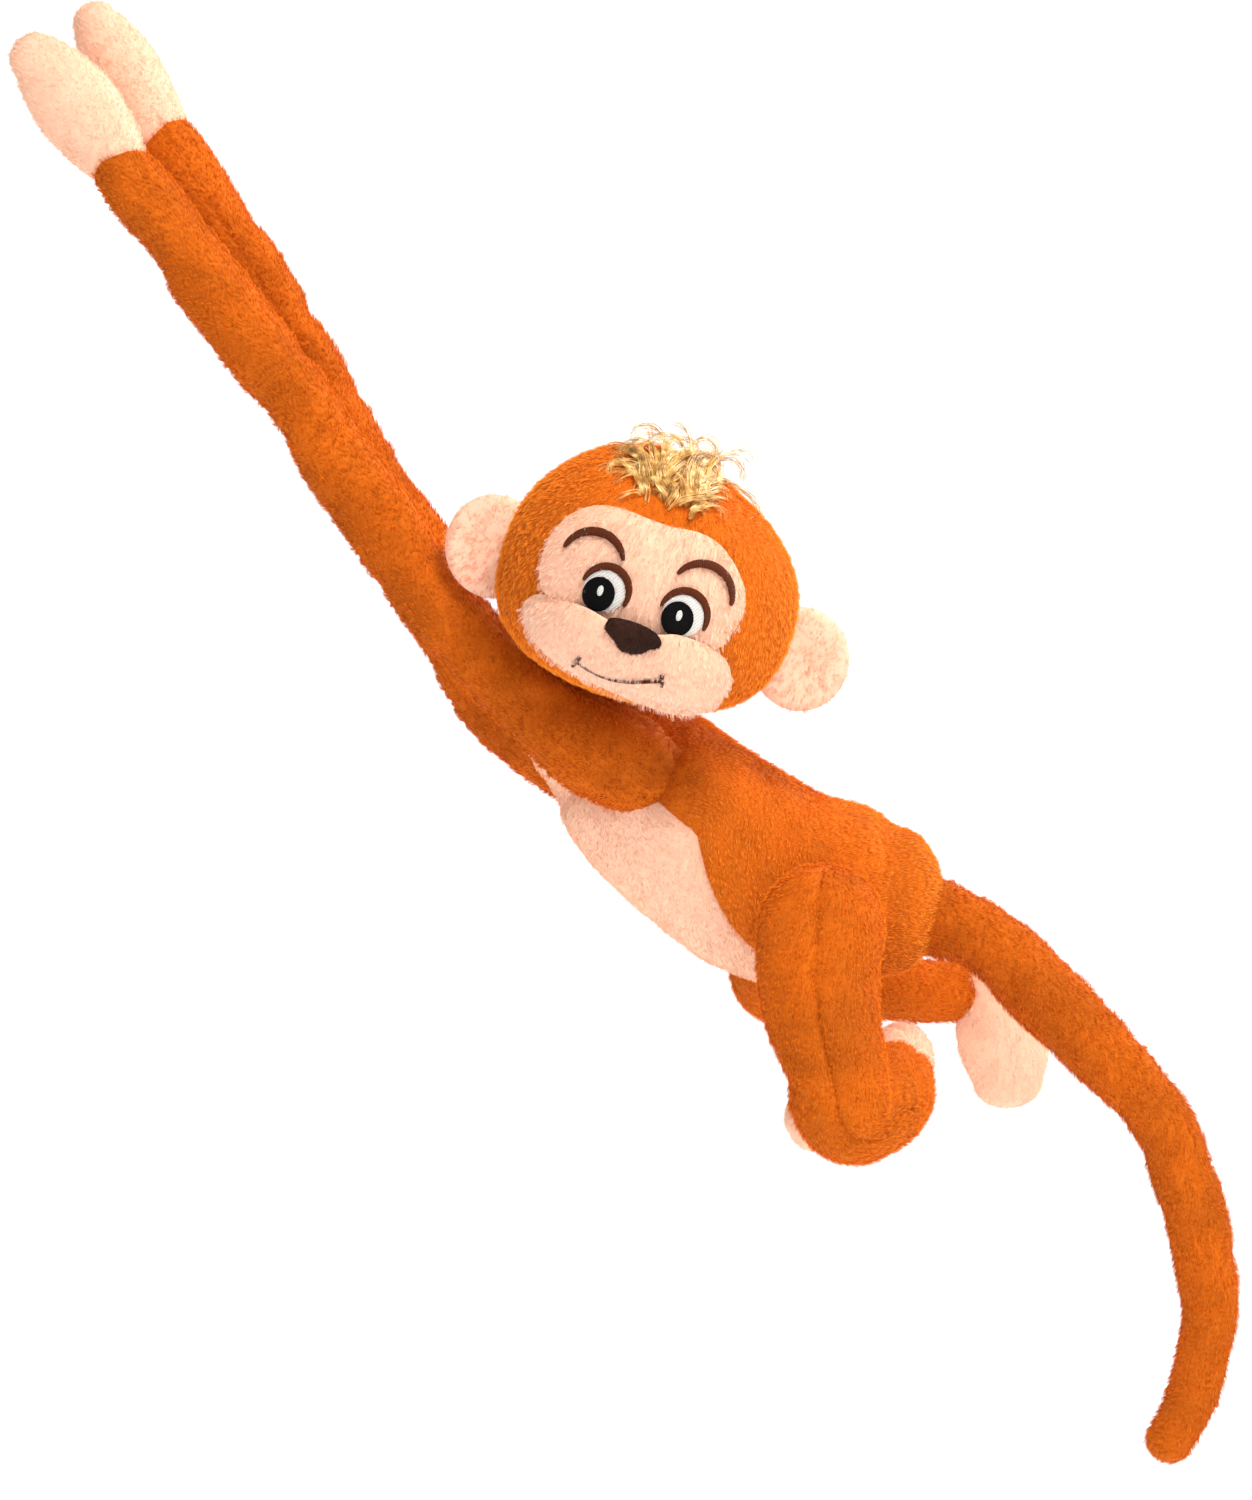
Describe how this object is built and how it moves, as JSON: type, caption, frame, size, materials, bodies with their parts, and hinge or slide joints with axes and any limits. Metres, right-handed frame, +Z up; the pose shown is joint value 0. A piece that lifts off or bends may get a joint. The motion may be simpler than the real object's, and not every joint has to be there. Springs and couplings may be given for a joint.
{
  "type": "long-armed plush monkey",
  "caption": "Soft stuffed monkey with long arms that fasten palm to palm, a curled tail, a peach face and a curly tuft of hair, stored hanging by its hands.",
  "frame": {"origin": "centre of the left palm's round fastening patch, on its outer face", "axes": "+Z up as it hangs, +X towards the tail, -Y out of the face"},
  "size_m": [0.4833, 0.2626, 0.5915],
  "materials": {
    "orange_pile": "short orange plush pile",
    "peach_pile": "short peach plush pile",
    "fibre_filling": "loose polyester fibre",
    "brown_thread": "satin embroidery thread",
    "white_thread": "satin embroidery thread",
    "black_thread": "satin embroidery thread",
    "golden_fibre": "glossy curled fibre",
    "hook_tape": "hook side of hook-and-loop tape",
    "loop_tape": "loop side of hook-and-loop tape"
  },
  "bodies": {
    "torso": {"torso_skin": "orange_pile", "belly_panel": "peach_pile", "torso_stuffing": "fibre_filling", "closing_seam": "brown_thread"},
    "neck": {"nape": "orange_pile"},
    "head": {"head_skin": "orange_pile", "head_stuffing": "fibre_filling", "face_patch": "peach_pile", "muzzle": "peach_pile", "nose": "brown_thread", "mouth": "brown_thread", "left_eye_white": "white_thread", "right_eye_white": "white_thread", "left_pupil": "black_thread", "right_pupil": "black_thread", "left_eye_glint": "white_thread", "right_eye_glint": "white_thread", "left_eyelid": "brown_thread", "right_eyelid": "brown_thread", "left_brow": "brown_thread", "right_brow": "brown_thread", "hair_tuft": "golden_fibre"},
    "left_ear": {"left_ear": "peach_pile"},
    "right_ear": {"right_ear": "peach_pile"},
    "left_upper_arm": {"left_upper_arm_skin": "orange_pile", "left_upper_arm_stuffing": "fibre_filling"},
    "left_forearm": {"left_forearm_skin": "orange_pile", "left_forearm_stuffing": "fibre_filling"},
    "left_thigh": {"left_thigh_skin": "orange_pile", "left_thigh_stuffing": "fibre_filling"},
    "left_shin": {"left_shin_skin": "orange_pile", "left_shin_stuffing": "fibre_filling"},
    "left_foot": {"left_foot_skin": "peach_pile", "left_foot_stuffing": "fibre_filling"},
    "left_hand": {"left_hand_skin": "peach_pile", "left_hand_stuffing": "fibre_filling", "left_palm_patch": "hook_tape"},
    "right_upper_arm": {"right_upper_arm_skin": "orange_pile", "right_upper_arm_stuffing": "fibre_filling"},
    "right_forearm": {"right_forearm_skin": "orange_pile", "right_forearm_stuffing": "fibre_filling"},
    "right_thigh": {"right_thigh_skin": "orange_pile", "right_thigh_stuffing": "fibre_filling"},
    "right_shin": {"right_shin_skin": "orange_pile", "right_shin_stuffing": "fibre_filling"},
    "right_foot": {"right_foot_skin": "peach_pile", "right_foot_stuffing": "fibre_filling"},
    "right_hand": {"right_hand_skin": "peach_pile", "right_hand_stuffing": "fibre_filling", "right_palm_patch": "loop_tape"},
    "tail_root": {"tail_root_skin": "orange_pile", "tail_root_stuffing": "fibre_filling"},
    "tail_middle": {"tail_middle_skin": "orange_pile", "tail_middle_stuffing": "fibre_filling"},
    "tail_tip": {"tail_tip_skin": "orange_pile", "tail_tip_stuffing": "fibre_filling"}
  },
  "joints": [
    {"name": "neck_turn", "type": "hinge", "parent": "torso", "child": "neck", "pos_m": [0.216, -0.01, -0.21], "axis": [0, 0, 1], "range_deg": [0, 25]},
    {"name": "head_nod", "type": "hinge", "parent": "neck", "child": "head", "pos_m": [0.216, -0.01, -0.21], "axis": [1, 0, 0], "range_deg": [-20, 0]},
    {"name": "left_ear_fold", "type": "hinge", "parent": "head", "child": "left_ear", "pos_m": [0.1826, -0.047, -0.1798], "axis": [0.2924, 0, 0.9563], "range_deg": [-5, 25], "stiffness_Nm_per_rad": 0.006},
    {"name": "right_ear_fold", "type": "hinge", "parent": "head", "child": "right_ear", "pos_m": [0.2739, -0.047, -0.213], "axis": [0.2924, 0, 0.9563], "range_deg": [-25, 10], "stiffness_Nm_per_rad": 0.006},
    {"name": "left_shoulder", "type": "hinge", "parent": "torso", "child": "left_upper_arm", "pos_m": [0.222, -0.047, -0.258], "axis": [0, 1, 0], "range_deg": [-90, 0]},
    {"name": "left_elbow", "type": "hinge", "parent": "left_upper_arm", "child": "left_forearm", "pos_m": [0.097, -0.025, -0.129], "axis": [0, 1, 0], "range_deg": [-75, 45]},
    {"name": "left_wrist", "type": "hinge", "parent": "left_forearm", "child": "left_hand", "pos_m": [0.02, -0.012, -0.026], "axis": [0, 1, 0], "range_deg": [-45, 45]},
    {"name": "right_shoulder", "type": "hinge", "parent": "torso", "child": "right_upper_arm", "pos_m": [0.216, 0.047, -0.258], "axis": [0, 1, 0], "range_deg": [-90, 45]},
    {"name": "right_elbow", "type": "hinge", "parent": "right_upper_arm", "child": "right_forearm", "pos_m": [0.102, 0.033, -0.121], "axis": [0, 1, 0], "range_deg": [-75, 45]},
    {"name": "right_wrist", "type": "hinge", "parent": "right_forearm", "child": "right_hand", "pos_m": [0.034, 0.017, -0.01], "axis": [0, 1, 0], "range_deg": [-45, 45]},
    {"name": "left_hip", "type": "hinge", "parent": "torso", "child": "left_thigh", "pos_m": [0.296, -0.057, -0.327], "axis": [0, 1, 0], "range_deg": [-10, 40]},
    {"name": "left_knee", "type": "hinge", "parent": "left_thigh", "child": "left_shin", "pos_m": [0.304, -0.054, -0.404], "axis": [0.9149, -0.4038, 0], "range_deg": [-75, 0]},
    {"name": "left_ankle", "type": "hinge", "parent": "left_shin", "child": "left_foot", "pos_m": [0.334, 0.014, -0.377], "axis": [-0.5937, -0.058, 0.8026], "range_deg": [-60, 0]},
    {"name": "right_hip", "type": "hinge", "parent": "torso", "child": "right_thigh", "pos_m": [0.3, 0.058, -0.329], "axis": [0, 1, 0], "range_deg": [-40, 30]},
    {"name": "right_knee", "type": "hinge", "parent": "right_thigh", "child": "right_shin", "pos_m": [0.287, 0.112, -0.356], "axis": [-0.031, -0.453, -0.891], "range_deg": [-70, 0]},
    {"name": "right_ankle", "type": "hinge", "parent": "right_shin", "child": "right_foot", "pos_m": [0.374, 0.108, -0.357], "axis": [0.05, 0.9986, 0.016], "range_deg": [-40, 20]},
    {"name": "tail_root_bend", "type": "hinge", "parent": "torso", "child": "tail_root", "pos_m": [0.366, 0, -0.338], "axis": [0, 1, 0], "range_deg": [-35, 10]},
    {"name": "tail_middle_bend", "type": "hinge", "parent": "tail_root", "child": "tail_middle", "pos_m": [0.43, -0.01, -0.403], "axis": [0, 1, 0], "range_deg": [-35, 35]},
    {"name": "tail_tip_bend", "type": "hinge", "parent": "tail_middle", "child": "tail_tip", "pos_m": [0.45, -0.016, -0.478], "axis": [0, 1, 0], "range_deg": [-40, 40]}
  ]
}
